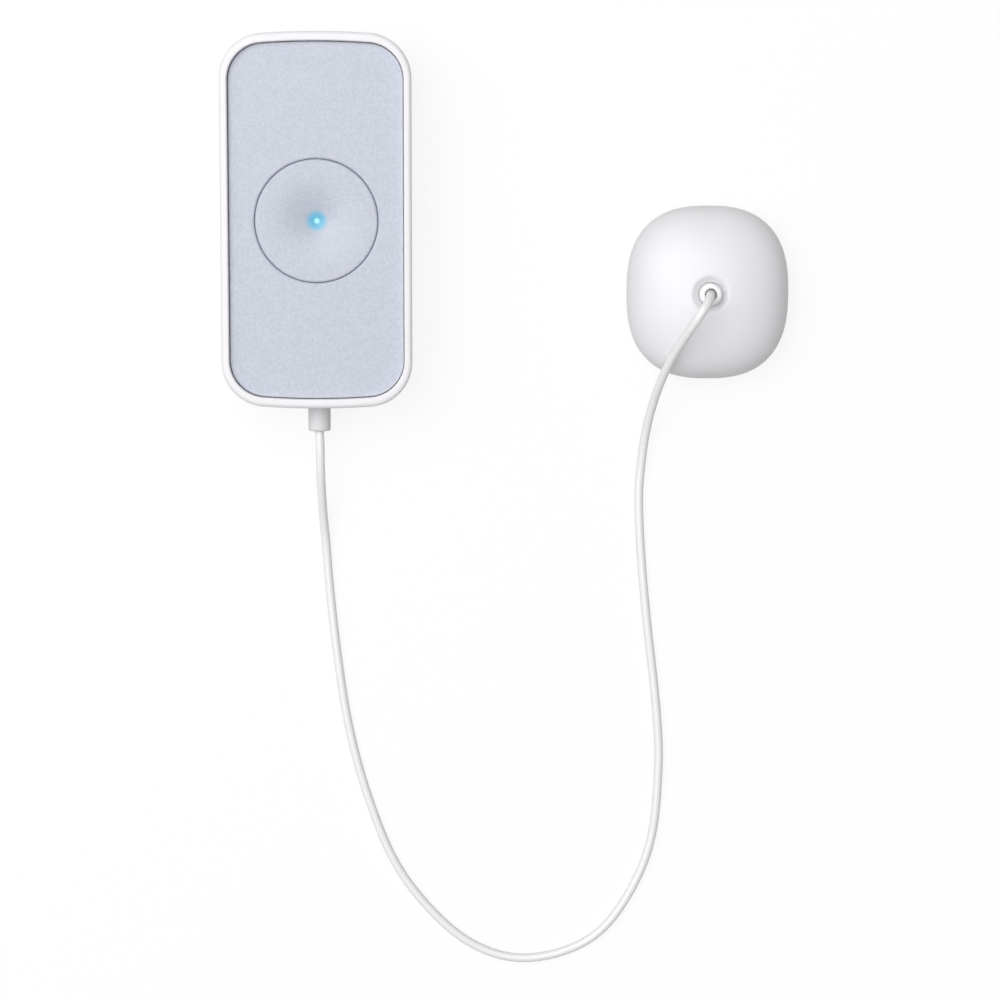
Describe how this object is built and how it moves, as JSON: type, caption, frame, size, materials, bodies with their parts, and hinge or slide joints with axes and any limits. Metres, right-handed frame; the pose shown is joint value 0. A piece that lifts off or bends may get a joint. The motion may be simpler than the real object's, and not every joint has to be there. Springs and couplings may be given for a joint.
{
  "type": "water leak sensor",
  "caption": "Flat rounded host unit with a dished press button, joined by a thin cord to a soft square probe that stands on metal pins on the floor.",
  "frame": {"origin": "middle of the host's flat back face", "axes": "+Z out of the host's front, towards the button; +Y along the host, away from the cord; +X from the host towards the probe"},
  "size_m": [0.1149, 0.1936, 0.0214],
  "materials": {
    "white_plastic": "fine satin white moulding",
    "panel_satin": "blue-grey satin with a fine grain",
    "light_guide": "clear guide, lit blue",
    "led": "blue light-emitting diode",
    "soft_white": "soft white moulding",
    "black_plastic": "black moulding",
    "black_rubber": "black rubber ring",
    "board": "green solder mask",
    "steel": "bright steel",
    "gold_contact": "plated contact",
    "black_lead": "black insulation",
    "red_lead": "red insulation"
  },
  "bodies": {
    "host": {"front_bezel": "white_plastic", "rear_cover": "white_plastic", "front_panel": "panel_satin", "switch_housing": "black_plastic", "circuit_board": "board", "status_led": "led", "radio_shield": "steel", "controller_chip": "black_plastic", "lead_connector": "white_plastic", "battery_holder": "black_plastic", "coin_cell": "steel", "battery_contact_positive": "gold_contact", "battery_contact_negative": "gold_contact", "case_screw_1": "steel", "case_screw_2": "steel", "case_screw_3": "steel", "case_screw_4": "steel", "board_screw_1": "steel", "board_screw_2": "steel", "strain_relief": "soft_white", "host_lead_1": "black_lead", "host_lead_2": "red_lead", "cord": "soft_white", "probe_shell": "white_plastic", "probe_base": "white_plastic", "probe_seal": "black_rubber", "probe_gland": "soft_white", "probe_board": "board", "probe_contact_1": "gold_contact", "probe_contact_2": "gold_contact", "probe_contact_3": "gold_contact", "probe_contact_4": "gold_contact", "probe_lead_1": "black_lead", "probe_lead_2": "red_lead", "probe_screw_1": "steel", "probe_screw_2": "steel"},
    "button": {"button_cap": "panel_satin", "light_guide": "light_guide", "switch_plunger": "black_plastic"}
  },
  "joints": [
    {"name": "button_press", "type": "slide", "parent": "host", "child": "button", "axis": [0, 0, -1], "range_m": [0, 0.0005], "stiffness_N_per_m": 2000, "springref_m": -0.0005}
  ]
}
